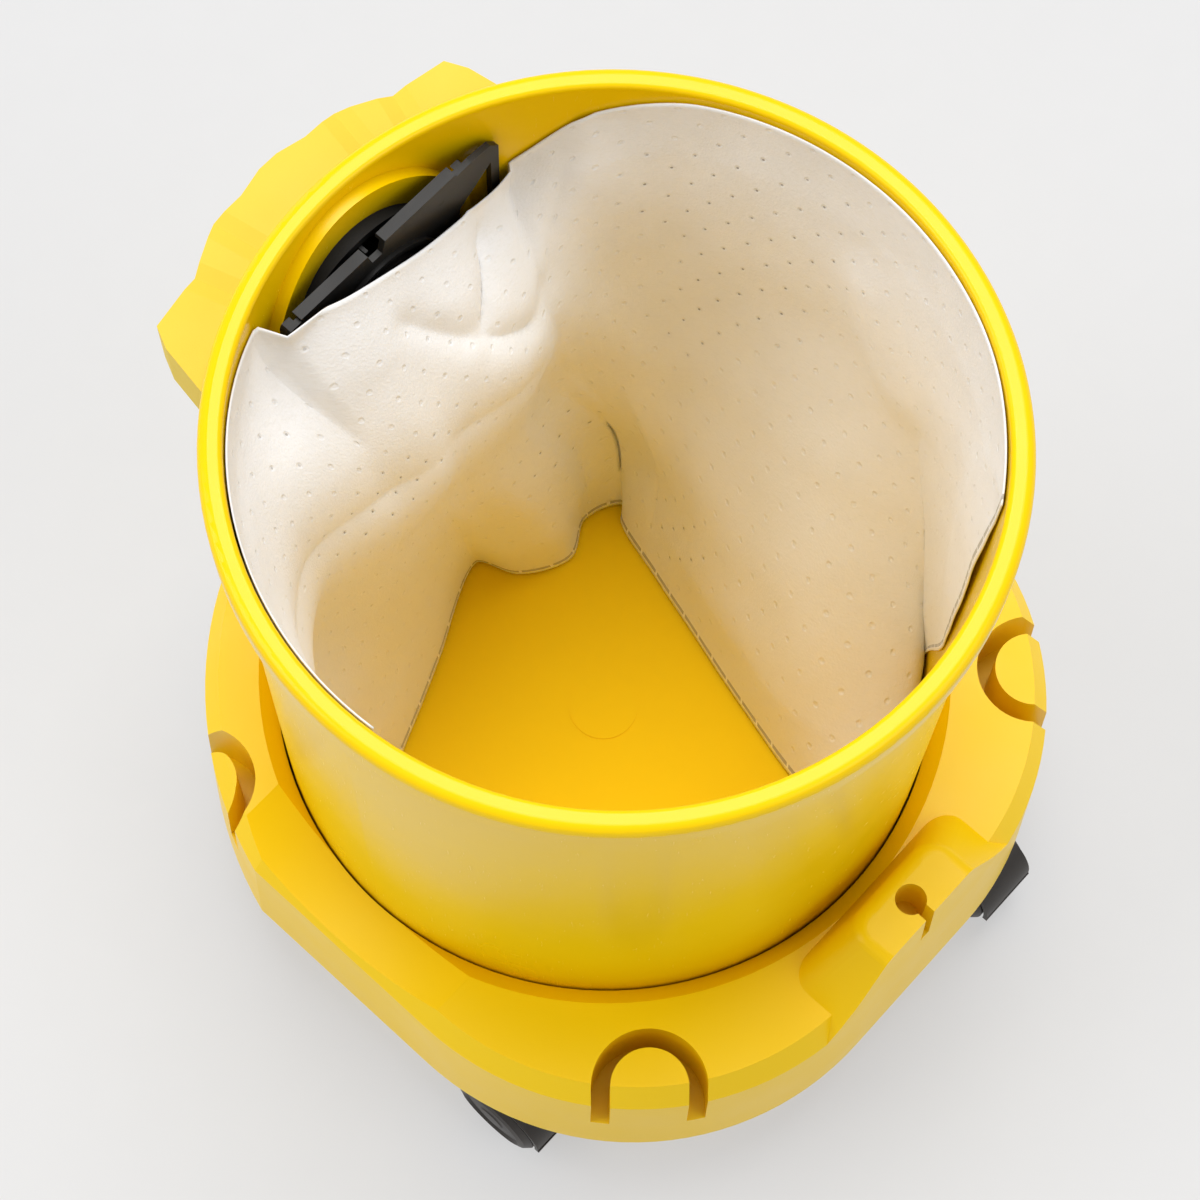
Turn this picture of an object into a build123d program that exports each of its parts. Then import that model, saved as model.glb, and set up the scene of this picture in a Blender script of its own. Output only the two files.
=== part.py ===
"""Wet and dry shop vacuum: the open container on its castor chassis, with the
filter bag fitted and the motor head taken off.

Frame: origin on the floor, on the container's axis. +Z is up, the hose inlet
faces -Y and the tool hump is at +Y. Millimetres.
"""
from build123d import *
from math import cos, radians, sin, sqrt
import os

# ---- driving dimensions -----------------------------------------------------
RIM_Z = 412.0            # top of the container rim above the floor
RIM_R = 170.0            # outer radius of the rolled rim
RIM_LIP = 13.0           # height of the rim's turned-down lip
MOUTH_R = 159.5          # inner radius of the container's mouth
WALL = 3.0               # moulded wall of container, rim and collar
TANK_FLOOR_Z = 71.0      # inside floor of the container
SEAM_Z = 127.0           # where the container drops into the chassis
SEAM_R = 160.6           # container's outer radius at that seam
BEAD_DROP = 45.0         # shallow step below the rim top
BEAD_STEP = 1.8          # how far the band above it stands out

SKIRT_Z = 57.0           # lower edge of the chassis skirt
DECK_Z = 135.0           # top of the corner decks
HALF_W = 192.0           # chassis half width at the skirt's lower edge
REAR_Y = 208.0           # rear face of the skirt
CORNER_R = 150.0         # rear corners in plan
FRONT_R = 200.0          # round front of the chassis
CHASSIS_WALL = 3.5
DRAFT = 2.6              # skirt draft in degrees
BEVEL_DROP = 13.0        # bevel along the deck's outer edge
BEVEL_ANGLE = 31.0

PORT_Z = RIM_Z - 70.0    # axis of the hose inlet
PORT_HOLE_R = 44.0       # hole in the container wall
HOSE_R = 19.0            # bore that takes the hose end
TUBE_R = 22.0            # outside of the inlet tube

CASTOR_RADIUS = 183.0    # castor pivots from the container's axis
CASTOR_ANGLE = 25.0      # first pivot, then every 90 degrees
WHEEL_R = 25.0
TRAIL = 18.0             # axle behind the swivel pivot
STEM_R = 4.0
RUNNING = 0.05           # radial clearance of a running fit

os.makedirs("parts", exist_ok=True)


def save(name, piece):
    """Label one finished piece and write its STEP file."""
    piece.label = name
    export_step(piece, f"parts/{name}.step")


def container_radius(z):
    """Outer radius of the container's tapered wall at height z."""
    rise = (z - SEAM_Z) / (RIM_Z - SEAM_Z)
    return SEAM_R + (MOUTH_R + WALL - SEAM_R) * rise


# ---- container --------------------------------------------------------------
BASE_Z = TANK_FLOOR_Z - WALL
BEAD_Z = RIM_Z - BEAD_DROP
FOOT_Z = 61.5            # container feet and screw bosses stand on the chassis floor
BOSS_RING = 100.0
SCREW_R = 1.7            # screws, and their pilot holes in the bosses
SCREW_HEAD_R = 4.0
SCREW_HOLE_R = 2.2


def container_outline():
    """Half section of the container: floor, tapered wall, bead and rolled rim."""
    base_r = container_radius(BASE_Z)
    bead_r = container_radius(BEAD_Z)
    lip_z = RIM_Z - RIM_LIP
    with BuildSketch(Plane.XZ) as section:
        with BuildLine():
            Polyline(
                (0, BASE_Z), (base_r - 12, BASE_Z), (base_r, BASE_Z + 12),
                (bead_r, BEAD_Z), (bead_r + BEAD_STEP, BEAD_Z + 0.6),
                (MOUTH_R + WALL + BEAD_STEP, RIM_Z - WALL), (RIM_R - WALL, RIM_Z - WALL),
                (RIM_R - WALL, lip_z), (RIM_R, lip_z), (RIM_R, RIM_Z),
                (MOUTH_R, RIM_Z), (bead_r - WALL, BEAD_Z),
                (base_r - WALL, TANK_FLOOR_Z + 12), (base_r - 12, TANK_FLOOR_Z),
                (0, TANK_FLOOR_Z), (0, BASE_Z),
            )
        make_face()
        outer_rim = section.vertices().filter_by_position(Axis.Y, RIM_Z - 0.1, RIM_Z + 0.1)
        fillet(outer_rim.sort_by(Axis.X)[-1], radius=4.5)
        fillet(section.vertices().sort_by_distance((MOUTH_R, RIM_Z))[0], radius=2.5)
    return section.sketch


def make_inlet_pad():
    """Raised ring on the inside of the wall, round the hole for the inlet."""
    with BuildPart() as pad:
        with BuildSketch(Plane.XZ):
            with Locations((container_radius(PORT_Z) - 5, PORT_Z)):
                Rectangle(7, 140)
        revolve(axis=Axis.Z)
        with BuildSketch(Plane.XZ.offset(120)):
            with Locations((0, PORT_Z)):
                Circle(61)
        extrude(amount=60, mode=Mode.INTERSECT)
    return pad.part


def make_container():
    outline = container_outline()
    inlet_pad = make_inlet_pad()
    with BuildPart() as container:
        add(outline)
        revolve(axis=Axis.Z)
        add(inlet_pad)
        with BuildSketch(Plane.XZ.offset(120)):
            with Locations((0, PORT_Z)):
                Circle(PORT_HOLE_R)
        extrude(amount=60, mode=Mode.SUBTRACT)
        with BuildSketch(Plane.XY.offset(TANK_FLOOR_Z)):
            Circle(17.5)
        extrude(amount=0.5)
        with BuildSketch(Plane.XY.offset(FOOT_Z)):
            Circle(143)
            Circle(140, mode=Mode.SUBTRACT)
            with PolarLocations(BOSS_RING, 4, start_angle=45):
                Circle(5)
        extrude(amount=BASE_Z - FOOT_Z)
        with BuildSketch(Plane.XY.offset(FOOT_Z)):
            with PolarLocations(BOSS_RING, 4, start_angle=45):
                Circle(SCREW_R)
        extrude(amount=8, mode=Mode.SUBTRACT)
    return container.part


# ---- chassis ----------------------------------------------------------------
SLOT_R = 27.5            # outer radius of a tube-parking groove
SLOT_BOSS_R = 18.5       # D-shaped boss that a tube end slips over
SLOT_FLOOR_Z = 92.0
# each groove: angle of its centre from +X, distance from the axis, opening direction
REAR_SLOT = (48.0, 210.0, 45.0)
FRONT_SLOT = (-30.4, 205.5, -31.0)
VALLEY_R = 250.0         # the side decks dip between the corner decks
VALLEY_Y = -8.0
VALLEY_DEPTH = 9.0
RING_R = SEAM_R + 1.0    # chassis opening round the container
COVE = 9.0               # 45 degree cove round that opening
HUMP_Z = 172.0
HUMP_FOOT_WIDTH = 164.0  # where the hump's slopes would meet the deck's underside
HUMP_FOOT_Y = 161.0
HUMP_TOP_WIDTH = 60.0
HUMP_FOOT_DEPTH = 84.0
HUMP_TOP_Y = 177.0
HUMP_TOP_DEPTH = 62.0
HUMP_CORNER_R = 14.0
HUMP_CROWN_R = 8.0
KEYHOLE_Y = 191.0        # keyhole that parks the floor nozzle
KEYHOLE_R = 7.5
KEYHOLE_SLOT = 6.0
KEYHOLE_RUN = 30.0       # the slot runs out through the rear face
KEYHOLE_FLOOR_Z = 140.0
CHASSIS_FLOOR_Z = 58.5
SOCKET_R = 9.5           # sockets for the castor stems
SOCKET_DEPTH = 40.0


def plan_outline(inset):
    """Plan of the chassis skirt: square with large rear corners and a round front."""
    half = HALF_W - inset
    rear = REAR_Y - inset
    corner = CORNER_R - inset
    front = FRONT_R - inset
    front_y = -sqrt(front**2 - half**2)
    reach = corner * cos(radians(45))
    side_y = REAR_Y - CORNER_R
    rear_x = HALF_W - CORNER_R
    with BuildSketch(Plane.XY.offset(SKIRT_Z)) as plan:
        with BuildLine():
            Line((rear_x, rear), (-rear_x, rear))
            ThreePointArc((-rear_x, rear), (-rear_x - reach, side_y + reach), (-half, side_y))
            Line((-half, side_y), (-half, front_y))
            ThreePointArc((-half, front_y), (0, -front), (half, front_y))
            Line((half, front_y), (half, side_y))
            ThreePointArc((half, side_y), (rear_x + reach, side_y + reach), (rear_x, rear))
        make_face()
    return plan.sketch


def make_hump(inset):
    """Rear hump with sloping sides, flush with the drafted skirt at the back."""
    plan = plan_outline(inset)
    foot_z = DECK_Z - BEVEL_DROP - 20
    top_z = HUMP_Z - inset
    with BuildPart() as wedge:
        with BuildSketch(Plane.XY.offset(foot_z)):
            with Locations((0, HUMP_FOOT_Y + HUMP_FOOT_DEPTH / 2)):
                Rectangle(HUMP_FOOT_WIDTH - 2 * inset, HUMP_FOOT_DEPTH - 2 * inset)
        with BuildSketch(Plane.XY.offset(top_z)):
            with Locations((0, HUMP_TOP_Y + HUMP_TOP_DEPTH / 2)):
                Rectangle(HUMP_TOP_WIDTH - 2 * inset, HUMP_TOP_DEPTH - 2 * inset)
        loft()
        slanted = wedge.edges().filter_by(lambda edge: edge.length < 200 and
                                          abs(edge.tangent_at(0.5).Z) > 0.3)
        fillet(slanted.sort_by(Axis.Y)[:2], radius=HUMP_CORNER_R - inset)
        crown = wedge.faces().sort_by(Axis.Z)[-1]
        fillet(crown.edges(), radius=HUMP_CROWN_R - inset)
    with BuildPart() as hump:
        add(plan)
        extrude(amount=HUMP_Z - inset - SKIRT_Z, taper=DRAFT)
        add(wedge.part, mode=Mode.INTERSECT)
    return hump.part


def chassis_form(inset):
    """Closed body of the chassis, moved in from the outside by inset all over."""
    plan = plan_outline(inset)
    hump = make_hump(inset)
    wall_top = DECK_Z - BEVEL_DROP
    with BuildPart() as form:
        add(plan)
        extrude(amount=wall_top - SKIRT_Z, taper=DRAFT)
        rim = form.faces().sort_by(Axis.Z)[-1]
        extrude(rim, amount=BEVEL_DROP - inset, taper=BEVEL_ANGLE)
        add(hump)
        with BuildSketch(Plane.YZ.offset(-250)):
            with Locations((VALLEY_Y, DECK_Z - VALLEY_DEPTH + VALLEY_R)):
                Circle(VALLEY_R + inset)
        extrude(amount=500, mode=Mode.SUBTRACT)
    return form.part


def slot_places():
    """Centre and opening direction of the four tube-parking grooves."""
    places = []
    for angle, distance, opening in (REAR_SLOT, FRONT_SLOT):
        x = distance * cos(radians(angle))
        y = distance * sin(radians(angle))
        places.append((x, y, opening))
        places.append((-x, y, 180 - opening))
    return places


def castor_places():
    return [
        (CASTOR_RADIUS * cos(radians(angle)), CASTOR_RADIUS * sin(radians(angle)))
        for angle in [CASTOR_ANGLE + 90 * i for i in range(4)]
    ]


def slot_prism(radius, length, bottom, top):
    """Prisms with one round end, one at each parking groove, open outwards."""
    with BuildPart() as prism:
        for x, y, opening in slot_places():
            with BuildSketch(Plane((x, y, bottom), z_dir=(0, 0, 1)).rotated((0, 0, opening))):
                Circle(radius)
                with Locations((length / 2, 0)):
                    Rectangle(length, 2 * radius)
            extrude(amount=top - bottom)
    return prism.part


def make_cavity(hollow):
    """Hollow under the deck, less a wall round the container, grooves and castor sockets."""
    grooves = slot_prism(SLOT_R + 3, 40, SKIRT_Z, HUMP_Z)
    with BuildPart() as cavity:
        add(hollow)
        with BuildSketch(Plane.XY.offset(SKIRT_Z)):
            Circle(RING_R + CHASSIS_WALL)
            with Locations(*castor_places()):
                Circle(SOCKET_R)
        extrude(amount=HUMP_Z, mode=Mode.SUBTRACT)
        with Locations((0, 0, SEAM_Z - CHASSIS_WALL)):
            Cone(RING_R + 2, RING_R + 2 + COVE, COVE,
                 align=(Align.CENTER, Align.CENTER, Align.MIN), mode=Mode.SUBTRACT)
        add(grooves, mode=Mode.SUBTRACT)
        # the keyhole is a blind pocket with its own wall
        with BuildSketch(Plane.XY.offset(KEYHOLE_FLOOR_Z - CHASSIS_WALL)):
            with Locations((0, KEYHOLE_Y)):
                Circle(KEYHOLE_R + CHASSIS_WALL)
            with Locations((0, KEYHOLE_Y + KEYHOLE_RUN / 2)):
                Rectangle(KEYHOLE_SLOT + 2 * CHASSIS_WALL, KEYHOLE_RUN)
        extrude(amount=60, mode=Mode.SUBTRACT)
    return cavity.part


def make_grooves():
    """Tube-parking grooves, each round its D boss."""
    bosses = slot_prism(SLOT_BOSS_R, 42, SLOT_FLOOR_Z - 1, HUMP_Z + 1)
    with BuildPart() as grooves:
        add(slot_prism(SLOT_R, 40, SLOT_FLOOR_Z, HUMP_Z))
        add(bosses, mode=Mode.SUBTRACT)
    return grooves.part


def make_boss_cores(hollow):
    """Hollows inside the D bosses and their pockets, open below."""
    bosses = slot_prism(SLOT_BOSS_R - 3, 42, SKIRT_Z - 1, DECK_Z - BEVEL_DROP - 4)
    pockets = slot_prism(SLOT_R, 42, SKIRT_Z - 1, SLOT_FLOOR_Z - 3)
    with BuildPart() as cores:
        add(bosses)
        add(pockets)
        add(hollow, mode=Mode.INTERSECT)
    return cores.part


def make_chassis():
    outer = chassis_form(0)
    hollow = chassis_form(CHASSIS_WALL)
    cavity = make_cavity(hollow)
    grooves = make_grooves()
    boss_cores = make_boss_cores(hollow)
    with BuildPart() as chassis:
        add(outer)
        add(cavity, mode=Mode.SUBTRACT)
        add(boss_cores, mode=Mode.SUBTRACT)
        # pocket for the container, open at the top
        with BuildSketch(Plane.XY.offset(CHASSIS_FLOOR_Z + WALL)):
            Circle(RING_R)
        extrude(amount=HUMP_Z, mode=Mode.SUBTRACT)
        with Locations((0, 0, SEAM_Z)):
            Cone(RING_R, RING_R + COVE, COVE,
                 align=(Align.CENTER, Align.CENTER, Align.MIN), mode=Mode.SUBTRACT)
        add(grooves, mode=Mode.SUBTRACT)
        with BuildSketch(Plane.XY.offset(KEYHOLE_FLOOR_Z)):
            with Locations((0, KEYHOLE_Y)):
                Circle(KEYHOLE_R)
            with Locations((0, KEYHOLE_Y + KEYHOLE_RUN / 2)):
                Rectangle(KEYHOLE_SLOT, KEYHOLE_RUN)
        extrude(amount=50, mode=Mode.SUBTRACT)
        # the floor is set up from the skirt's edge, with sockets for the castor stems
        with BuildSketch(Plane.XY.offset(SKIRT_Z - 1)):
            Circle(RING_R)
        extrude(amount=CHASSIS_FLOOR_Z - SKIRT_Z + 1, mode=Mode.SUBTRACT)
        with BuildSketch(Plane.XY.offset(SKIRT_Z - 1)):
            with Locations(*castor_places()):
                Circle(STEM_R + RUNNING)
        extrude(amount=SOCKET_DEPTH + 1, mode=Mode.SUBTRACT)
        with BuildSketch(Plane.XY.offset(SKIRT_Z)):
            with PolarLocations(BOSS_RING, 4, start_angle=45):
                Circle(SCREW_HOLE_R)
        extrude(amount=10, mode=Mode.SUBTRACT)
    return chassis.part


def make_chassis_screws():
    """Four pan-head screws up through the chassis floor into the container's bosses."""
    with BuildPart() as screws:
        with BuildSketch(Plane.XY.offset(CHASSIS_FLOOR_Z - 2)):
            with PolarLocations(BOSS_RING, 4, start_angle=45):
                Circle(SCREW_HEAD_R)
        extrude(amount=2)
        with BuildSketch(Plane.XY.offset(CHASSIS_FLOOR_Z)):
            with PolarLocations(BOSS_RING, 4, start_angle=45):
                Circle(SCREW_R)
        extrude(amount=10.5)
    return screws.part


# ---- collar over the hose inlet ---------------------------------------------
COLLAR_TOP = RIM_Z - 23.5
COLLAR_LOW = 272.0
COLLAR_ROOF = 3.4
COLLAR_HOLE_R = 26.0     # hole round the inlet tube
CREASE_ANGLES = (-18.0, -10.5, 10.5, 18.0)
CREASE_DEPTH = 1.8
# waved front edge, one side: angle from the front axis and distance from the container's axis
COLLAR_WAVE = [(34.0, 160.0), (34.0, 172.0), (28.4, 193.0), (25.8, 200.0), (18.0, 194.5),
               (10.5, 200.8), (5.6, 198.8), (1.5, 201.2)]
COLLAR_END_LOW = 359.0   # the collar is shallow at its ends and deep round the inlet
COLLAR_DEEP_X = 44.0     # half width of the deep part at its lower edge
COLLAR_SLOPE_X = 62.0    # half width where the shallow ends begin


def collar_points(inset):
    half = []
    for angle, distance in COLLAR_WAVE:
        reach = distance - inset
        turn = radians(angle) - inset / distance
        half.append((reach * sin(turn), -reach * cos(turn)))
    other = [(-x, y) for x, y in reversed(half)]
    return half + other


def container_body(extra):
    """Solid container wall, grown outwards by extra, that other pieces are cut back from."""
    low = container_radius(BASE_Z) + extra
    bead = container_radius(BEAD_Z) + extra
    with BuildPart() as body:
        with BuildSketch(Plane.XZ):
            with BuildLine():
                Polyline((0, BASE_Z), (low, BASE_Z), (bead, BEAD_Z - 0.2), (bead + BEAD_STEP, BEAD_Z + 0.4),
                         (MOUTH_R + WALL + BEAD_STEP + extra, RIM_Z), (0, RIM_Z), (0, BASE_Z))
            make_face()
        revolve(axis=Axis.Z)
    return body.part


def collar_block(inset, low, top):
    """Form of the collar moved in by inset: waved front, deep round the inlet."""
    end_low = COLLAR_END_LOW + inset
    deep_x = COLLAR_DEEP_X - inset
    slope_x = COLLAR_SLOPE_X - inset
    with BuildPart() as block:
        with BuildSketch(Plane.XY.offset(low)):
            with BuildLine():
                Polyline(*collar_points(inset), close=True)
            make_face()
        extrude(amount=top - low)
        with BuildSketch(Plane.XZ.offset(100)):
            with BuildLine():
                Polyline((-deep_x, low), (deep_x, low), (slope_x, end_low),
                         (120, end_low), (120, top), (-120, top), (-120, end_low),
                         (-slope_x, end_low), close=True)
            make_face()
        extrude(amount=120, mode=Mode.INTERSECT)
    return block.part


def make_front_collar():
    wall = container_body(0.2)
    outer = collar_block(0, COLLAR_LOW, COLLAR_TOP)
    hollow = collar_block(WALL, COLLAR_LOW - 1, COLLAR_TOP - COLLAR_ROOF)
    with BuildPart() as collar:
        add(outer)
        # shallow creases between the lobes
        for angle in CREASE_ANGLES:
            with BuildSketch(Plane.XZ.rotated((0, 0, angle)).offset(155)):
                with BuildLine():
                    Polyline((-7, COLLAR_TOP + 0.01), (7, COLLAR_TOP + 0.01),
                             (0, COLLAR_TOP - CREASE_DEPTH), close=True)
                make_face()
            extrude(amount=60, mode=Mode.SUBTRACT)
        add(hollow, mode=Mode.SUBTRACT)
        add(wall, mode=Mode.SUBTRACT)
        with BuildSketch(Plane.XZ.offset(150)):
            with Locations((0, PORT_Z)):
                Circle(COLLAR_HOLE_R)
        extrude(amount=80, mode=Mode.SUBTRACT)
    return collar.part


# ---- hose inlet -------------------------------------------------------------
CUP_R = PORT_HOLE_R - 2.5
CUP_DEEP_Y = 172.0       # outer face of the cup's bottom, in front of the axis
CUP_LIP_Y = 147.0
SPIGOT_Y = 128.0         # the spigot's inner end, which the filter slides on to
MOUTH_Y = 207.0          # the inlet tube's outer end
HOSE_STOP_Y = 170.0      # shoulder that the hose end stops against


def ring_along_y(outer, inner, near, far):
    """Ring along Y between two distances in front of the axis, centred on the inlet."""
    with BuildPart() as ring:
        with BuildSketch(Plane.XZ.offset(near)):
            with Locations((0, PORT_Z)):
                Circle(outer)
                Circle(inner, mode=Mode.SUBTRACT)
        extrude(amount=far - near)
    return ring.part


def make_inlet_port():
    with BuildPart() as port:
        add(ring_along_y(CUP_R, CUP_R - 2.2, CUP_LIP_Y, CUP_DEEP_Y))
        add(ring_along_y(CUP_R, HOSE_R, CUP_DEEP_Y - 2.5, CUP_DEEP_Y))
        add(ring_along_y(TUBE_R, HOSE_R, HOSE_STOP_Y, MOUTH_Y))
        add(ring_along_y(TUBE_R, HOSE_R - 1.2, SPIGOT_Y, HOSE_STOP_Y))
        add(ring_along_y(25.6, HOSE_R, MOUTH_Y - 6, MOUTH_Y))
        with BuildSketch(Plane.XZ.offset(CUP_LIP_Y - 4)):
            with Locations((0, PORT_Z)):
                with PolarLocations(30.0, 4, start_angle=90):
                    Rectangle(18, 1.8)
        extrude(amount=CUP_DEEP_Y - CUP_LIP_Y + 2)
        fillet(port.edges().filter_by(GeomType.CIRCLE).sort_by(Axis.Y)[-1], radius=0.8)
    return port.part


def make_port_seal():
    """Rubber grommet between the inlet cup and the hole in the container wall."""
    with BuildPart() as seal:
        add(ring_along_y(PORT_HOLE_R, CUP_R, CUP_LIP_Y, CUP_DEEP_Y - 11))
    return seal.part


def make_port_clips():
    """Clip on each side of the cup, inside the wall, that the flange plate stands against."""
    front = CUP_LIP_Y - 4.4
    with BuildPart() as clips:
        add(ring_along_y(50, CUP_R - 2, front, CUP_LIP_Y - 0.2))
        add(ring_along_y(50, PORT_HOLE_R + 0.3, front, front + 10))
        with BuildSketch(Plane.XZ.offset(front)):
            with Locations((-52, PORT_Z), (52, PORT_Z)):
                RectangleRounded(10, 24, 2)
        extrude(amount=10)
        with BuildSketch(Plane.XZ.offset(front - 1)):
            with Locations((-55, PORT_Z), (55, PORT_Z)):
                Rectangle(40, 34)
        extrude(amount=14, mode=Mode.INTERSECT)
        with BuildSketch(Plane.XY.offset(PORT_Z - 60)):
            Circle(container_radius(PORT_Z) - 9)
        extrude(amount=120, mode=Mode.INTERSECT)
    return clips.part


# ---- filter bag with its flange ---------------------------------------------
PLATE_Y = 136.5          # bag side of the flange plate, in front of the axis
PLATE_THICK = 3.0
PLATE_TOP = RIM_Z - 20.0
PLATE_LOW = 2 * PORT_Z - PLATE_TOP
PLATE_LEFT = -56.5
PLATE_RIGHT = 53.0
LOOP_X = -75.0           # outer bar of the pull loop
RELEASE = 18.0           # travel that takes the flange off the spigot
SEAL_BORE_R = TUBE_R + 0.3
PLATE_HOLE_R = 26.0
PLATE_CORNER_R = 6.0


def make_filter_flange():
    middle = (PLATE_LEFT + PLATE_RIGHT) / 2
    width = PLATE_RIGHT - PLATE_LEFT
    height = PLATE_TOP - PLATE_LOW
    with BuildPart() as flange:
        with BuildSketch(Plane.XZ.offset(PLATE_Y)):
            with Locations((middle, PORT_Z)):
                RectangleRounded(width, height, PLATE_CORNER_R)
            # pull loop at one end
            with BuildLine():
                Polyline((PLATE_LEFT + 6, PLATE_TOP - 1), (LOOP_X + 5, PLATE_TOP - 3),
                         (LOOP_X, PLATE_TOP - 9), (LOOP_X, PLATE_LOW + 22),
                         (PLATE_LEFT + 2, PLATE_LOW + 12), close=True)
            make_face()
            with Locations((0, PORT_Z)):
                Circle(PLATE_HOLE_R, mode=Mode.SUBTRACT)
        extrude(amount=PLATE_THICK)
        # stiffening edge that stands towards the container wall
        with BuildSketch(Plane.XZ.offset(PLATE_Y + PLATE_THICK)):
            with Locations((middle, PORT_Z)):
                RectangleRounded(width, height, PLATE_CORNER_R)
                RectangleRounded(width - 4, height - 4, PLATE_CORNER_R - 2, mode=Mode.SUBTRACT)
        extrude(amount=2.5)
        # notch in the middle of the top edge, and a step near each end
        with BuildSketch(Plane.XZ.offset(PLATE_Y - 5)):
            with BuildLine():
                Polyline((-5.5, PLATE_TOP + 1), (-3, PLATE_TOP - 8), (3, PLATE_TOP - 8),
                         (5.5, PLATE_TOP + 1), close=True)
            make_face()
            with Locations((PLATE_RIGHT - 3, PLATE_TOP), (PLATE_LEFT + 3, PLATE_TOP)):
                Rectangle(10, 4)
        extrude(amount=20, mode=Mode.SUBTRACT)
        # window of the pull loop, under a sloping strut
        with BuildSketch(Plane.XZ.offset(PLATE_Y - 5)):
            with BuildLine():
                Polyline((LOOP_X + 5, PLATE_TOP - 17), (PLATE_LEFT + 7, PLATE_TOP - 33),
                         (PLATE_LEFT + 7, PLATE_LOW + 24), (LOOP_X + 5, PLATE_LOW + 27), close=True)
            make_face()
        extrude(amount=20, mode=Mode.SUBTRACT)
        # collar on the bag side that the fleece is welded to
        add(ring_along_y(36, 33.5, PLATE_Y - 2, PLATE_Y))
        add(ring_along_y(PLATE_HOLE_R + 2.5, PLATE_HOLE_R, PLATE_Y - 2, PLATE_Y))
    return flange.part


def make_flange_seal():
    """Rubber ring in the flange's hole that grips the spigot."""
    with BuildPart() as seal:
        add(ring_along_y(PLATE_HOLE_R, SEAL_BORE_R, PLATE_Y, PLATE_Y + PLATE_THICK))
    return seal.part


BAG_START = 112.0        # the bag lines the wall between these two directions
BAG_TURN = 243.0


def make_filter_bag():
    """Space that the fleece bag fills: a lining round the wall, thicker at the floor."""
    low = TANK_FLOOR_Z + 1.0
    top = RIM_Z - 20.0
    wall_low = container_radius(low) - WALL
    wall_top = container_radius(top) - WALL
    travel_y = PLATE_Y - 2 - RELEASE - 1.0
    with BuildPart() as bag:
        with BuildSketch(Plane.XZ.rotated((0, 0, BAG_START))):
            with BuildLine():
                Polyline((103, low), (wall_low - 14, low), (wall_low - 1.5, low + 14),
                         (wall_top - 1.5, top), (wall_top - 12, top), (103, low + 4), close=True)
            make_face()
        revolve(axis=Axis.Z, revolution_arc=BAG_TURN)
        # room for the flange, its spigot and its travel
        with BuildSketch(Plane.XZ.offset(travel_y)):
            with Locations((-8, (PLATE_LOW + RIM_Z) / 2 - 5)):
                Rectangle(140, RIM_Z - PLATE_LOW + 20)
        extrude(amount=80, mode=Mode.SUBTRACT)
    return bag.part


# ---- castors ----------------------------------------------------------------
BODY_TOP = 53.0
STEM_FOOT_Z = 44.0
STEM_TOP_Z = 96.0
HOOD_IN_R = WHEEL_R + 1.2
HOOD_OUT_R = HOOD_IN_R + 2.3
HOOD_HALF = 17.0
WEB_HALF = 4.0
WHEEL_IN = WEB_HALF + 0.6
WHEEL_OUT = 21.0
AXLE_R = 3.0


def make_castor_body(x, y):
    """Swivelling body: web between the wheels, stem housing and hood over the treads."""
    axle_y = y + TRAIL
    with BuildPart() as body:
        with BuildSketch(Plane.YZ.offset(x - HOOD_HALF)):
            with Locations((axle_y, WHEEL_R)):
                Circle(HOOD_OUT_R)
            # small lip along the hood's lower rear edge
            with Locations((axle_y + HOOD_OUT_R - 0.7, WHEEL_R - 1.2)):
                Rectangle(2.4, 2)
            # the hood is open below, and in front of the stem
            with Locations((axle_y, WHEEL_R - 32.2)):
                Rectangle(90, 60, mode=Mode.SUBTRACT)
            with Locations((axle_y - 32, WHEEL_R)):
                Rectangle(24, 40, mode=Mode.SUBTRACT)
        extrude(amount=2 * HOOD_HALF)
        with BuildSketch(Plane.XY.offset(38)):
            with Locations((x, y)):
                Circle(9)
        extrude(amount=BODY_TOP - 38)
        with BuildSketch(Plane.YZ.offset(x - HOOD_HALF - 1)):
            with Locations((axle_y, WHEEL_R)):
                Circle(HOOD_IN_R)
        extrude(amount=2 * HOOD_HALF + 2, mode=Mode.SUBTRACT)
        with BuildSketch(Plane.YZ.offset(x - WEB_HALF)):
            with Locations((axle_y, WHEEL_R)):
                Circle(9)
            with BuildLine():
                Polyline((axle_y - 9, WHEEL_R), (y - 8, 40), (y - 8, 47),
                         (axle_y - 4, HOOD_IN_R + WHEEL_R + 1), (axle_y + 12, 49.5),
                         (axle_y + 9, WHEEL_R), close=True)
            make_face()
        extrude(amount=2 * WEB_HALF)
        with BuildSketch(Plane.XY.offset(STEM_FOOT_Z)):
            with Locations((x, y)):
                Circle(STEM_R)
        extrude(amount=20, mode=Mode.SUBTRACT)
        with BuildSketch(Plane.YZ.offset(x - 10)):
            with Locations((axle_y, WHEEL_R)):
                Circle(AXLE_R)
        extrude(amount=20, mode=Mode.SUBTRACT)
    return body.part


def make_castor_stem(x, y):
    with BuildPart() as stem:
        with BuildSketch(Plane.XY.offset(STEM_FOOT_Z)):
            with Locations((x, y)):
                Circle(STEM_R)
        extrude(amount=STEM_TOP_Z - STEM_FOOT_Z)
        chamfer(stem.edges().sort_by(Axis.Z)[-1], length=0.8)
    return stem.part


def make_castor_axle(x, y):
    with BuildPart() as axle:
        with BuildSketch(Plane.YZ.offset(x - WHEEL_OUT + 3.5)):
            with Locations((y + TRAIL, WHEEL_R)):
                Circle(AXLE_R)
        extrude(amount=2 * (WHEEL_OUT - 3.5))
    return axle.part


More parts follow.
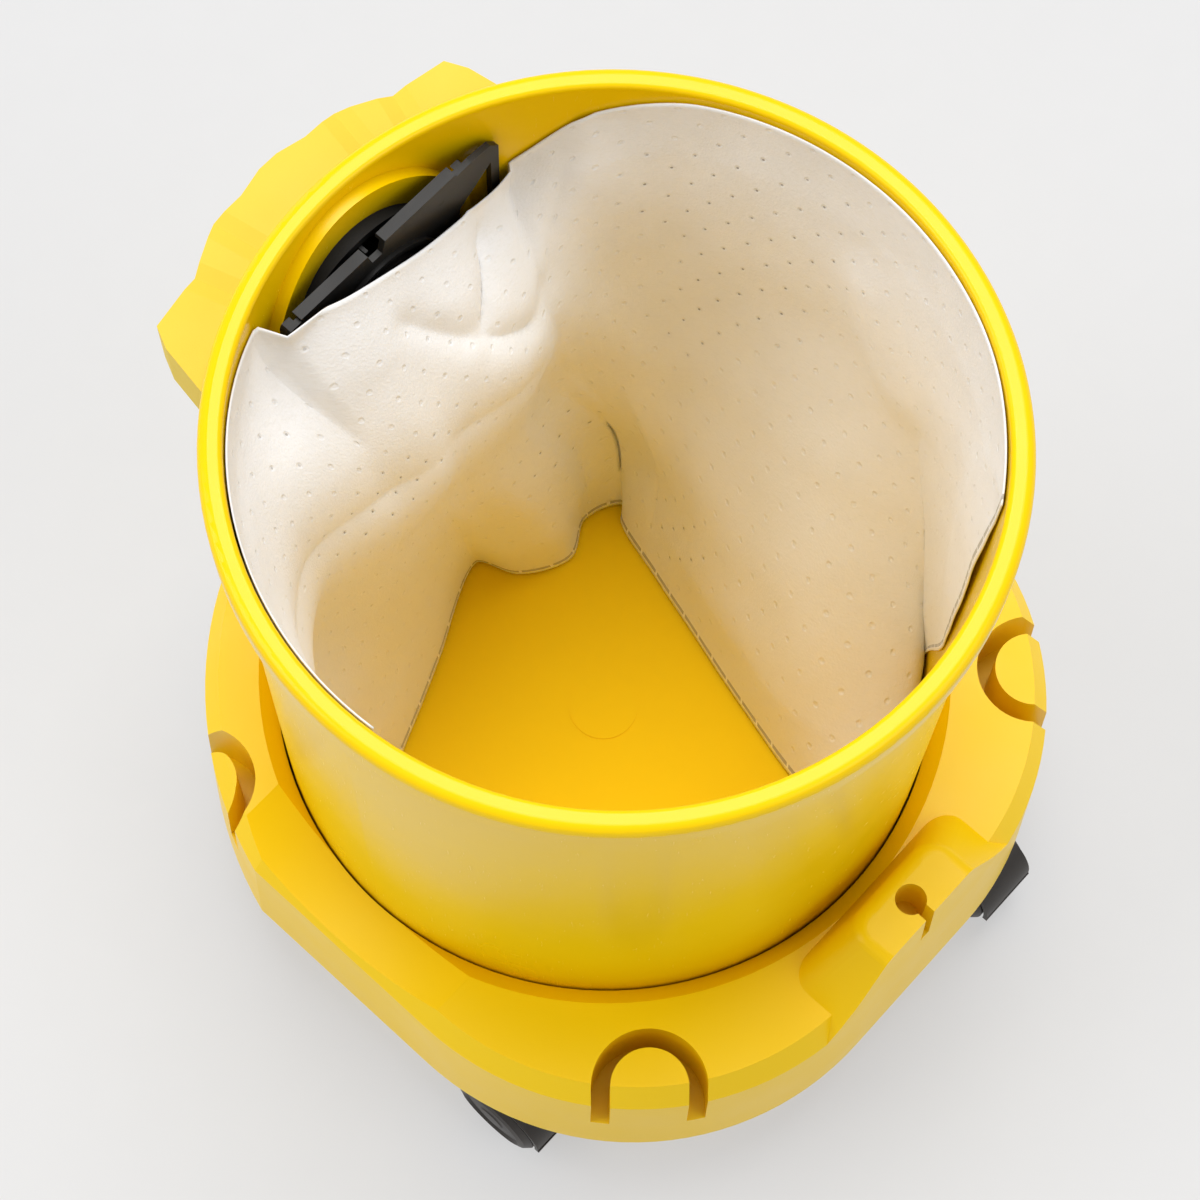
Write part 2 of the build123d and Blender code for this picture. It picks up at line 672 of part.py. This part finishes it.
def make_castor_wheel(x, y, side):
    """One wheel with a rounded tread and a dished outer face; side is -1 or 1."""
    with BuildPart() as wheel:
        with BuildSketch(Plane.XZ):
            with BuildLine():
                Polyline((AXLE_R + RUNNING, WHEEL_IN), (WHEEL_R, WHEEL_IN),
                         (WHEEL_R, WHEEL_OUT - 4), (WHEEL_R - 3, WHEEL_OUT - 1),
                         (WHEEL_R - 6, WHEEL_OUT), (WHEEL_R - 8, WHEEL_OUT - 1.4),
                         (8, WHEEL_OUT - 0.6), (7, WHEEL_OUT), (0, WHEEL_OUT),
                         (0, WHEEL_OUT - 3.2), (AXLE_R + RUNNING, WHEEL_OUT - 3.2), close=True)
            make_face()
        revolve(axis=Axis.Z)
    placed = Plane((x, y + TRAIL, WHEEL_R), z_dir=(side, 0, 0)).location * wheel.part
    return placed


# ---- build everything -------------------------------------------------------
save("container", make_container())
save("chassis", make_chassis())
save("chassis_screws", make_chassis_screws())
save("front_collar", make_front_collar())
save("inlet_port", make_inlet_port())
save("port_seal", make_port_seal())
save("port_clips", make_port_clips())
save("filter_flange", make_filter_flange())
save("flange_seal", make_flange_seal())
save("filter_bag", make_filter_bag())

for corner, (px, py) in zip(("rear_right", "rear_left", "front_left", "front_right"), castor_places()):
    save(f"castor_body_{corner}", make_castor_body(px, py))
    save(f"castor_stem_{corner}", make_castor_stem(px, py))
    save(f"castor_axle_{corner}", make_castor_axle(px, py))
    save(f"castor_wheel_a_{corner}", make_castor_wheel(px, py, -1))
    save(f"castor_wheel_b_{corner}", make_castor_wheel(px, py, 1))
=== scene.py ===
"""Looks of the open shop vacuum container: moulded plastics, the fleece filter bag, studio and camera.

Metres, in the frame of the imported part: Z up from the floor, hose inlet at -Y, tool hump at +Y.
"""

from math import radians, sqrt

import bmesh
import bpy
import numpy as np
from mathutils import Matrix, Vector, noise


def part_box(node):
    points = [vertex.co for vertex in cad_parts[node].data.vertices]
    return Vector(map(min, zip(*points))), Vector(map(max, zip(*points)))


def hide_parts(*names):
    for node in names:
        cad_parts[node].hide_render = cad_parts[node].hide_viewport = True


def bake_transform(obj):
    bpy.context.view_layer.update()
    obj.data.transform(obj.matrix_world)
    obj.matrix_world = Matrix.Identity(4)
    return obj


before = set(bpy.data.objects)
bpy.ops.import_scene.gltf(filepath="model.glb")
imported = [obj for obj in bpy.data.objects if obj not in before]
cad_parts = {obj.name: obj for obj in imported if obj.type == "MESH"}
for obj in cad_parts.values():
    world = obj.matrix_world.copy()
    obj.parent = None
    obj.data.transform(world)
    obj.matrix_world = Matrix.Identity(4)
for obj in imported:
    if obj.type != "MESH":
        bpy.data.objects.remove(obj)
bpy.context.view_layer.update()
MM = 0.001

# ---- sizes read from the frame ----------------------------------------------
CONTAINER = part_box("container")
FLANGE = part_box("filter_flange")
FEET_HEIGHT = 0.0095       # from the container's feet up to its inside floor
RIM_OVERHANG = 0.0105      # from the outer edge of the rim in to the mouth
BASE_INSET = 0.0125        # from the outer edge of the rim in to the wall near the floor
RIM_TOP = CONTAINER[1].z
FLOOR_TOP = CONTAINER[0].z + FEET_HEIGHT
RIM_RADIUS = (CONTAINER[1].x - CONTAINER[0].x) / 2
MOUTH_RADIUS = RIM_RADIUS - RIM_OVERHANG
BASE_RADIUS = RIM_RADIUS - BASE_INSET


# ---- materials --------------------------------------------------------------
class Nodes:
    """Short way to build one node tree."""

    def __init__(self, name):
        self.material = bpy.data.materials.new(name)
        self.material.use_nodes = True
        self.tree = self.material.node_tree
        self.shader = self.tree.nodes["Principled BSDF"]
        self.coordinates = self.add("ShaderNodeTexCoord").outputs["Object"]

    def add(self, kind, links=(), **values):
        node = self.tree.nodes.new(kind)
        for key, value in values.items():
            setattr(node, key, value)
        for socket, value in links:
            self.set(node.inputs[socket], value)
        return node

    def set(self, socket, value):
        if isinstance(value, bpy.types.NodeSocket):
            self.tree.links.new(value, socket)
        else:
            socket.default_value = value

    def math(self, operation, a, b=0.0, clamp=False):
        return self.add("ShaderNodeMath", [(0, a), (1, b)], operation=operation,
                        use_clamp=clamp).outputs[0]

    def noise(self, scale, detail=3.0, roughness=0.55, vector=None):
        node = self.add("ShaderNodeTexNoise", [("Vector", vector or self.coordinates),
                                               ("Scale", scale), ("Detail", detail),
                                               ("Roughness", roughness)])
        return node.outputs["Fac"]

    def ramp(self, factor, low, high, out_low=0.0, out_high=1.0):
        return self.add("ShaderNodeMapRange",
                        [("Value", factor), ("From Min", low), ("From Max", high),
                         ("To Min", out_low), ("To Max", out_high)]).outputs["Result"]

    def mix(self, factor, a, b):
        node = self.add("ShaderNodeMix", data_type="RGBA")
        self.set(node.inputs[0], factor)
        self.set(node.inputs[6], a)
        self.set(node.inputs[7], b)
        return node.outputs[2]

    def bump(self, height, distance, strength=1.0, below=None):
        node = self.add("ShaderNodeBump", [("Height", height), ("Distance", distance),
                                           ("Strength", strength)])
        if below is not None:
            self.set(node.inputs["Normal"], below)
        return node.outputs["Normal"]


def rgb(red, green, blue):
    """Display colour, 0 to 255, as a linear shader colour."""
    linear = [((c / 255 + 0.055) / 1.055) ** 2.4 if c > 10 else c / 3295 for c in (red, green, blue)]
    return (*linear, 1.0)


def moulded_plastic(name, colour, shade, rough, rougher, grain, scuffs=0.12, gloss=0.25,
                    matt_below=0.0):
    """Injection-moulded plastic: slow colour flow, fine grain, shallow waves and handling marks.

    Below the height `matt_below` the mould was left unpolished.
    """
    n = Nodes(name)
    flow = n.noise(7.0, 2.0)
    waves = n.noise(24.0, 2.0)
    fine = n.noise(1500.0, 2.0, 0.6)
    marks_space = n.add("ShaderNodeMapping", [("Vector", n.coordinates),
                                              ("Scale", (1.0, 11.0, 1.0)),
                                              ("Rotation", (0.3, 0.5, 0.9))]).outputs[0]
    marks = n.ramp(n.noise(90.0, 6.0, 0.7, marks_space), 0.62, 0.76)
    n.set(n.shader.inputs["Base Color"], n.mix(n.ramp(flow, 0.3, 0.7), colour, shade))
    base_rough = n.ramp(waves, 0.25, 0.75, rough, rougher)
    marked = n.math("ADD", base_rough, n.math("MULTIPLY", marks, scuffs), clamp=True)
    if matt_below:
        height = n.add("ShaderNodeSeparateXYZ", [(0, n.coordinates)]).outputs[2]
        marked = n.math("MAXIMUM", marked, n.ramp(height, matt_below + 0.004, matt_below, 0.0, 0.8))
    n.set(n.shader.inputs["Roughness"], marked)
    moulding = n.bump(waves, 0.0004, 0.2)
    n.set(n.shader.inputs["Normal"], n.bump(fine, grain, 0.6, moulding))
    n.shader.inputs["IOR"].default_value = 1.45
    n.shader.inputs["Specular IOR Level"].default_value = gloss
    return n.material


def brushed_steel(name):
    n = Nodes(name)
    turned = n.noise(260.0, 4.0, 0.7, n.add("ShaderNodeMapping", [
        ("Vector", n.coordinates), ("Scale", (1.0, 1.0, 18.0))]).outputs[0])
    n.set(n.shader.inputs["Base Color"],
          n.mix(turned, rgb(150, 152, 156), rgb(196, 198, 202)))
    n.shader.inputs["Metallic"].default_value = 1.0
    n.set(n.shader.inputs["Roughness"], n.ramp(turned, 0.3, 0.7, 0.24, 0.42))
    n.set(n.shader.inputs["Normal"], n.bump(turned, 0.0001, 0.5))
    return n.material


# ---- the pouch's cloth material ----------------------------------------------
POUCH_WIDTH = 0.660
POUCH_HEIGHT = 0.345
WELD_INSET = 0.0036        # middle of the welded line from the pouch's edge
WELD_HALF = 0.0012
DASH = 0.0135
DASH_GAP = 0.0014
DOT_STEP = 0.021           # needle holes, in staggered rows
DOT_RADIUS = 0.00062


def fleece_material():
    """Thermally bonded fleece: soft fibres, pressed weave, needle holes, dashed weld."""
    n = Nodes("fleece")
    pouch = n.add("ShaderNodeAttribute", attribute_name="pouch").outputs["Vector"]
    parts = n.add("ShaderNodeSeparateXYZ", [(0, pouch)])
    across, up = parts.outputs[0], parts.outputs[1]

    # distance in from the two welded edges, the floor edge and the far end
    from_end = n.math("SUBTRACT", POUCH_WIDTH, across)
    inset = n.math("MINIMUM", from_end, up)
    off_line = n.math("ABSOLUTE", n.math("SUBTRACT", inset, WELD_INSET))
    on_line = n.math("LESS_THAN", off_line, WELD_HALF)
    along = n.add("ShaderNodeMix", data_type="FLOAT")
    n.set(along.inputs[0], n.math("LESS_THAN", from_end, up))
    n.set(along.inputs[2], across)
    n.set(along.inputs[3], up)
    dash = n.math("GREATER_THAN", n.math("MODULO", along.outputs[0], DASH), DASH_GAP)
    weld = n.math("MULTIPLY", on_line, dash)
    margin = n.ramp(inset, WELD_INSET + 0.001, WELD_INSET - 0.001)

    # needle holes on a staggered grid
    row = n.math("DIVIDE", up, DOT_STEP * 0.5)
    shift = n.math("MULTIPLY", n.math("FLOORED_MODULO", n.math("FLOOR", row), 2.0), 0.5)
    place = n.math("ADD", n.math("DIVIDE", across, DOT_STEP), shift)
    cell_u = n.math("SUBTRACT", n.math("FRACT", place), 0.5)
    cell_v = n.math("MULTIPLY", n.math("SUBTRACT", n.math("FRACT", row), 0.5), 0.5)
    squared = n.math("ADD", n.math("MULTIPLY", cell_u, cell_u), n.math("MULTIPLY", cell_v, cell_v))
    reach = n.math("SQRT", squared)
    dot = DOT_RADIUS / DOT_STEP
    hole = n.ramp(reach, 1.25 * dot, 0.8 * dot)
    ring = n.ramp(reach, 2.6 * dot, 1.2 * dot)

    clouds = n.noise(24.0, 4.0, 0.6)
    patches = n.ramp(n.noise(11.0, 1.0), 0.55, 0.66)
    fibres = n.noise(900.0, 5.0, 0.75)
    long_fibres = n.noise(300.0, 4.0, 0.7, n.add("ShaderNodeMapping", [
        ("Vector", n.coordinates), ("Scale", (1.0, 1.0, 5.0)),
        ("Rotation", (0.4, 0.7, 0.2))]).outputs[0])
    pressed = n.add("ShaderNodeTexVoronoi", [("Vector", pouch), ("Scale", 900.0)],
                    feature="SMOOTH_F1").outputs["Distance"]

    cream = n.mix(n.ramp(clouds, 0.32, 0.68), rgb(247, 248, 251), rgb(240, 240, 241))
    # colour turns slightly creamier and darker towards the lower edge of the pouch
    creamier_low = n.mix(n.ramp(up, 0.30, 0.02), cream, rgb(240, 237, 228))
    speckled = n.mix(n.ramp(long_fibres, 0.52, 0.75, 0.0, 0.25), creamier_low, rgb(219, 219, 207))
    with_margin = n.mix(margin, speckled, rgb(251, 251, 250))
    welded = n.mix(n.math("MULTIPLY", weld, 0.9), with_margin, rgb(172, 166, 154))
    shown_hole = n.math("MULTIPLY", hole, n.math("MULTIPLY", patches, 0.75))
    n.set(n.shader.inputs["Base Color"], n.mix(shown_hole, welded, rgb(104, 98, 88)))
    n.set(n.shader.inputs["Roughness"], n.ramp(clouds, 0.3, 0.7, 0.62, 0.82))
    n.shader.inputs["Sheen Weight"].default_value = 0.25
    n.shader.inputs["Sheen Roughness"].default_value = 0.5
    n.shader.inputs["Specular IOR Level"].default_value = 0.35

    soft = n.bump(clouds, 0.0012, 0.5)
    woven = n.bump(pressed, 0.00025, 0.55, soft)
    fuzzy = n.bump(fibres, 0.00022, 0.6, woven)
    pinned = n.bump(n.math("SUBTRACT", 0.0, n.math("MAXIMUM", weld, ring)), 0.0005, 0.7, fuzzy)
    n.set(n.shader.inputs["Normal"], pinned)
    return n.material


TANK = moulded_plastic("tank_plastic", rgb(246, 205, 0), rgb(243, 201, 0), rough=0.20, rougher=0.28,
                       grain=0.00003, matt_below=FLOOR_TOP + 0.006)
CHASSIS = moulded_plastic("chassis_plastic", rgb(247, 206, 1), rgb(244, 202, 0), rough=0.30,
                          rougher=0.40, grain=0.00006)
COLLAR = moulded_plastic("collar_plastic", rgb(230, 200, 64), rgb(225, 194, 54), rough=0.46,
                         rougher=0.58, grain=0.00010)
BLACK = moulded_plastic("black_plastic", rgb(30, 29, 28), rgb(24, 23, 22), rough=0.40,
                        rougher=0.54, grain=0.00010, scuffs=0.2, gloss=0.4)
WHEEL = moulded_plastic("wheel_plastic", rgb(42, 36, 31), rgb(35, 30, 26), rough=0.40,
                        rougher=0.55, grain=0.00012, scuffs=0.2, gloss=0.5)
RUBBER = moulded_plastic("seal_rubber", rgb(30, 30, 31), rgb(24, 24, 25), rough=0.62,
                         rougher=0.78, grain=0.00014, scuffs=0.1, gloss=0.4)
STEEL = brushed_steel("bright_steel")
FLEECE = fleece_material()

FINISH = {"container": TANK, "chassis": CHASSIS, "front_collar": COLLAR, "port_seal": RUBBER,
          "flange_seal": RUBBER, "chassis_screws": STEEL}


def finish_for(node):
    if node in FINISH:
        return FINISH[node]
    if node.startswith("castor_wheel") or node.startswith("castor_body"):
        return WHEEL
    if node.startswith("castor"):
        return STEEL
    return BLACK


for node_name, node_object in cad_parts.items():
    node_object.data.materials.clear()
    node_object.data.materials.append(finish_for(node_name))


# ---- the fleece bag ------------------------------------------------------------
# The flat pouch stands curled against the wall. Five levels carry its plan outline, each a row of
# (x, y) points in mm at the same places across the pouch. The last row is the upper edge.
ACROSS = (0, 70, 130, 190, 235, 255, 280, 305, 318, 332, 342, 380, 420, 505, 560, 600, 660)
FLOOR_ROW = ((125, -94), (148, -33), (93, -56), (38, -80), (-14, -102), (-24, -82), (-48, -67),
             (-68, -76), (-76, -75), (-89, -67), (-81, -62), (-70, -26), (-59, 13), (-36, 97),
             (-25, 150), (-78, 136), (-115, 106))
LOW_ROW = ((141, -66), (146, -50), (92, -76), (44, -91), (2, -100), (-12, -92), (-34, -80),
           (-58, -83), (-74, -88), (-97, -80), (-98, -66), (-92, -38), (-83, -6), (-72, 68),
           (-98, 113), (-118, 102), (-109, 113))
MIDDLE_ROW = ((152, -32), (140, -58), (100, -94), (54, -92), (20, -95), (4, -95), (-16, -92),
              (-38, -93), (-50, -97), (-66, -101), (-80, -96), (-100, -74), (-112, -48), (-118, 30),
              (-129, 76), (-124, 97), (-92, 127))
RIDGE_ROW = ((152, -8), (135, -52), (97, -87), (54, -82), (28, -80), (12, -84), (-10, -84),
             (-30, -84), (-40, -86), (-52, -90), (-64, -97), (-100, -99), (-130, -74), (-152, 8),
             (-142, 62), (-126, 93), (-87, 131))
EDGE_ROW = ((160, 15), (147, -58), (121, -105), (76, -141), (22, -131), (4, -131), (-20, -131),
            (-46, -132), (-58, -136), (-72, -134), (-81, -129), (-108, -107), (-139, -77),
            (-158, 3), (-147, 57), (-127, 93), (-84, 133))
EDGE_HEIGHTS = (409, 409, 408, 402, 389, 381, 371, 363, 359, 358, 365, 394, 406, 408, 409, 410, 403)
LEVELS = (FLOOR_TOP / MM + 1.5, 140, 212, 288)      # heights of the first four rows, mm
LEVEL_SHARES = (0, 0.20, 0.42, 0.66, 1.0)           # share of the pouch's height at each row
LEANS_FROM = 151.0         # an edge this far from the axis touches the wall, mm
LEAN_SOFTNESS = 3.0        # mm over which it takes hold
LEAN_START = 0.78          # share of the height where it begins
COLUMNS = 264
ROWS = 132


def slopes(x, y):
    """Tangents of a curve through the points that never overshoots them."""
    step = np.diff(x)
    rise = np.diff(y, axis=0) / step[:, None]
    inner = np.zeros_like(y)
    same = rise[:-1] * rise[1:] > 0
    weight = (step[:-1] + 2 * step[1:])[:, None], (2 * step[:-1] + step[1:])[:, None]
    with np.errstate(divide="ignore", invalid="ignore"):
        mean = (weight[0] + weight[1]) / (weight[0] / rise[:-1] + weight[1] / rise[1:])
    inner[1:-1] = np.where(same, mean, 0.35 * (rise[:-1] + rise[1:]))
    inner[0], inner[-1] = rise[0], rise[-1]
    return inner


def curve(x, y, at):
    """Smooth values at `at` of the curve through the points (x, y), with y of any width."""
    x, y, at = np.asarray(x, float), np.asarray(y, float), np.asarray(at, float)
    tangent = slopes(x, y)
    i = np.clip(np.searchsorted(x, at) - 1, 0, len(x) - 2)
    h = (x[i + 1] - x[i])[:, None]
    t = ((at - x[i]) / h[:, 0])[:, None]
    return ((2 * t**3 - 3 * t**2 + 1) * y[i] + (t**3 - 2 * t**2 + t) * h * tangent[i]
            + (3 * t**2 - 2 * t**3) * y[i + 1] + (t**3 - t**2) * h * tangent[i + 1])


def wall_radius(z):
    """Inner radius of the container at height z, in mm."""
    share = np.clip((z - FLOOR_TOP / MM) / ((RIM_TOP - FLOOR_TOP) / MM), 0, 1)
    return (BASE_RADIUS + (MOUTH_RADIUS - BASE_RADIUS) * share) / MM


def lean_on_wall(grid, up):
    """Lay the upper edge against the wall wherever it comes near it."""
    radius = np.hypot(grid[..., 0], grid[..., 1])
    near = np.clip((radius[-1] - LEANS_FROM) / LEAN_SOFTNESS, 0, 1)
    lean = np.clip((up - LEAN_START) / (1 - LEAN_START), 0, 1) ** 2
    outward = 1 + np.outer(lean, near) * (wall_radius(grid[..., 2]) / radius - 1)
    grid[..., :2] *= outward[..., None]
    return grid


def bag_surface():
    """Inner face of the pouch in mm, as an array [row, column, xyz]."""
    across = np.linspace(0, POUCH_WIDTH / MM, COLUMNS + 1)
    rows = []
    for level, outline in zip(LEVELS, (FLOOR_ROW, LOW_ROW, MIDDLE_ROW, RIDGE_ROW)):
        plan = curve(ACROSS, outline, across)
        rows.append(np.column_stack([plan, np.full(len(across), level)]))
    rows.append(curve(ACROSS, np.column_stack([EDGE_ROW, EDGE_HEIGHTS]), across))
    up = np.linspace(0, 1, ROWS + 1)
    grid = np.zeros((ROWS + 1, COLUMNS + 1, 3))
    stack = np.array(rows)
    for column in range(COLUMNS + 1):
        grid[:, column] = curve(LEVEL_SHARES, stack[:, column], up)
    return lean_on_wall(grid, up), across, up


PLATE_SIDE = 4             # the cloth stays off the flange plate this far past its ends, mm
PLATE_BELOW = 6            # and this far below it
PLATE_GAP = 0.6


def keep_inside(grid, spare):
    """Hold the points clear of the wall, of the floor and of the flange plate."""
    radius = np.hypot(grid[..., 0], grid[..., 1])
    limit = wall_radius(grid[..., 2]) - spare
    scale = np.minimum(1, limit / np.maximum(radius, 1e-6))
    grid[..., 0] *= scale
    grid[..., 1] *= scale
    grid[..., 2] = np.maximum(grid[..., 2], FLOOR_TOP / MM + spare * 0.5)
    beside = ((grid[..., 0] > FLANGE[0].x / MM - PLATE_SIDE)
              & (grid[..., 0] < FLANGE[1].x / MM + PLATE_SIDE))
    high = grid[..., 2] > FLANGE[0].z / MM - PLATE_BELOW
    plate = FLANGE[1].y / MM + PLATE_GAP + spare * 0.4
    grid[..., 1] = np.where(beside & high, np.maximum(grid[..., 1], plate), grid[..., 1])
    return grid


def normals_of(grid):
    """Unit normals of the grid that point to the container's axis."""
    along = np.gradient(grid, axis=1)
    upward = np.gradient(grid, axis=0)
    normal = np.cross(upward, along)
    return normal / np.maximum(np.linalg.norm(normal, axis=2, keepdims=True), 1e-9)


# Folds and creases: (from, to) as (mm across, share of the height), half width, lift, sharpness
FOLDS = (
    ((250, 0.93), (292, 0.80), 8, 4, 0.8),
    ((292, 0.80), (320, 0.97), 7, 6, 0.6),
    ((288, 0.81), (334, 0.72), 9, 5, 0.7),
    ((338, 0.70), (372, 0.98), 12, 3, 0.8),
    ((505, 0.86), (548, 0.60), 14, -4, 1.0),
    ((10, 0.72), (250, 0.69), 22, 6, 0.5),
    ((250, 0.69), (330, 0.60), 18, 4, 0.6),
    ((556, 0.64), (640, 0.08), 16, 10, 0.5),
    ((440, 0.60), (470, 0.12), 30, 3, 1.0),
)
BROAD_CRUMPLE = 1.5        # height of the slow unevenness, mm
FINE_CRUMPLE = 0.7
CRUMPLE_SCALE = 0.011      # waves per mm
FINER = 2.7


def fold_height(a, b, start, end, width, lift, sharp):
    """Height of one ridge from start to end; a is mm across and b the share of the height."""
    tall = POUCH_HEIGHT / MM
    sx, sy = start[0], start[1] * tall
    dx, dy = end[0] - sx, end[1] * tall - sy
    length = sqrt(dx * dx + dy * dy)
    t = ((a - sx) * dx + (b * tall - sy) * dy) / (length * length)
    off = np.abs((a - sx) * dy - (b * tall - sy) * dx) / length
    ends = np.clip(np.minimum(t, 1 - t) * 3.2 + 0.25, 0, 1)
    ends = ends * ends * (3 - 2 * ends)
    return lift * ends * np.exp(-((off / width) ** 2) ** sharp)


def crumples(grid, across, up):
    """Folds and unevenness of handled fleece, as a height along the surface's normal in mm."""
    height = np.zeros(grid.shape[:2])
    a, b = np.meshgrid(across, up)
    for fold in FOLDS:
        height += fold_height(a, b, *fold)
    for row in range(height.shape[0]):
        for column in range(height.shape[1]):
            p = Vector(grid[row, column]) * CRUMPLE_SCALE
            height[row, column] += (BROAD_CRUMPLE * noise.noise(p)
                                    + FINE_CRUMPLE * noise.noise(p * FINER))
    return height


EDGE_THICKNESS = 0.7       # the two layers together at the welded edge, mm
LOFT = 2.6                 # how much further apart they are away from it
LOFT_FROM = 6              # mm from the edge where the layers part
LOFT_OVER = 30


def weld_layers(inner, outer, across, up):
    """Mesh of the two layers, joined round their edges, with its place in the pouch at each point."""
    form = bmesh.new()
    layer = form.verts.layers.float_vector.new("pouch")
    sheets = []
    for sheet in (inner, outer):
        made = []
        for row in range(ROWS + 1):
            line = []
            for column in range(COLUMNS + 1):
                vert = form.verts.new(Vector(sheet[row, column]) * MM)
                vert[layer] = Vector((across[column] * MM, up[row] * POUCH_HEIGHT, 0))
                line.append(vert)
            made.append(line)
        sheets.append(made)
    front, back = sheets
    for row in range(ROWS):
        for column in range(COLUMNS):
            form.faces.new((front[row][column], front[row + 1][column],
                            front[row + 1][column + 1], front[row][column + 1]))
            form.faces.new((back[row][column], back[row][column + 1],
                            back[row + 1][column + 1], back[row + 1][column]))
    rim = ([(0, c) for c in range(COLUMNS)] + [(r, COLUMNS) for r in range(ROWS)]
           + [(ROWS, c) for c in range(COLUMNS, 0, -1)] + [(r, 0) for r in range(ROWS, 0, -1)])
    for (r0, c0), (r1, c1) in zip(rim, rim[1:] + rim[:1]):
        form.faces.new((front[r0][c0], front[r1][c1], back[r1][c1], back[r0][c0]))
    bmesh.ops.recalc_face_normals(form, faces=form.faces)
    mesh = bpy.data.meshes.new("fleece_bag")
    form.to_mesh(mesh)
    form.free()
    return mesh


def make_bag():
    """Two layers of fleece, curled against the wall and creased."""
    grid, across, up = bag_surface()
    grid = keep_inside(grid, 1.6)
    crumpled = grid + normals_of(grid) * crumples(grid, across, up)[..., None]
    inner = keep_inside(lean_on_wall(crumpled, up), 1.0)
    edge_distance = np.minimum.outer(np.minimum(up, 1 - up) * POUCH_HEIGHT / MM,
                                     np.minimum(across, across[-1] - across))
    puff = EDGE_THICKNESS + LOFT * np.clip((edge_distance - LOFT_FROM) / LOFT_OVER, 0, 1)
    outer = keep_inside(inner - normals_of(inner) * puff[..., None], 0.3)
    mesh = weld_layers(inner, outer, across, up)
    bag = bpy.data.objects.new("fleece_bag", mesh)
    bpy.context.scene.collection.objects.link(bag)
    mesh.shade_smooth()
    mesh.materials.append(FLEECE)
    return bag


bag = make_bag()
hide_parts("filter_bag")
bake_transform(bag)


# ---- studio --------------------------------------------------------------------
FLOOR_HALF = 40.0          # half of the floor's side
FLOOR_GLOW = 0.47          # the floor is a pale light table, so shadows stay faint
SKY_LIGHT = 0.40
LIGHT_SPREAD = 40          # angle that each soft light fills, in degrees
# name, direction that the light comes from, strength
LIGHTS = (
    ("overhead", (-0.33, -0.28, 1.1), 2.3),
    ("left_key", (0.70, -0.72, 0.75), 1.25),
    ("right_fill", (-0.3, 1.0, 0.8), 0.65),
)


def studio_floor():
    mesh = bpy.data.meshes.new("studio_floor")
    form = bmesh.new()
    bmesh.ops.create_grid(form, x_segments=8, y_segments=8, size=FLOOR_HALF)
    form.to_mesh(mesh)
    form.free()
    floor = bpy.data.objects.new("studio_floor", mesh)
    bpy.context.scene.collection.objects.link(floor)
    n = Nodes("studio_floor")
    n.set(n.shader.inputs["Base Color"], n.mix(n.noise(3.0), rgb(138, 138, 139), rgb(136, 136, 137)))
    n.shader.inputs["Emission Color"].default_value = (1.0, 1.0, 1.0, 1.0)
    n.shader.inputs["Emission Strength"].default_value = FLOOR_GLOW
    n.set(n.shader.inputs["Roughness"], n.ramp(n.noise(40.0), 0.3, 0.7, 0.85, 0.95))
    mesh.materials.append(n.material)


def soft_light(name, source, strength):
    """A wide soft light that comes from the direction `source`, the same all over the floor."""
    light = bpy.data.lights.new(name, "SUN")
    light.angle = radians(LIGHT_SPREAD)
    light.energy = strength
    lamp = bpy.data.objects.new(name, light)
    lamp.rotation_euler = Vector(source).to_track_quat("Z", "Y").to_euler()
    bpy.context.scene.collection.objects.link(lamp)


def studio():
    studio_floor()
    world = bpy.data.worlds.new("studio")
    world.use_nodes = True
    backdrop = world.node_tree.nodes["Background"]
    backdrop.inputs["Color"].default_value = (1.0, 1.0, 1.0, 1.0)
    backdrop.inputs["Strength"].default_value = SKY_LIGHT
    bpy.context.scene.world = world
    for name, source, strength in LIGHTS:
        soft_light(name, source, strength)
    bpy.context.scene.view_settings.view_transform = "Standard"
    bpy.context.scene.view_settings.look = "None"


def camera():
    """Camera at the photograph's height and turn, looking down into the container."""
    place = Vector((0.38613, 0.31883, 1.51809))
    aim = Vector((0.05895, 0.04424, RIM_TOP))
    roll = radians(2.544)
    data = bpy.data.cameras.new("camera")
    data.lens = 90
    data.sensor_width = 36
    view = bpy.data.objects.new("camera", data)
    turn = (aim - place).to_track_quat("-Z", "Y").to_matrix().to_4x4()
    view.matrix_world = Matrix.Translation(place) @ turn @ Matrix.Rotation(roll, 4, "Z")
    bpy.context.scene.collection.objects.link(view)
    bpy.context.scene.camera = view


studio()
camera()
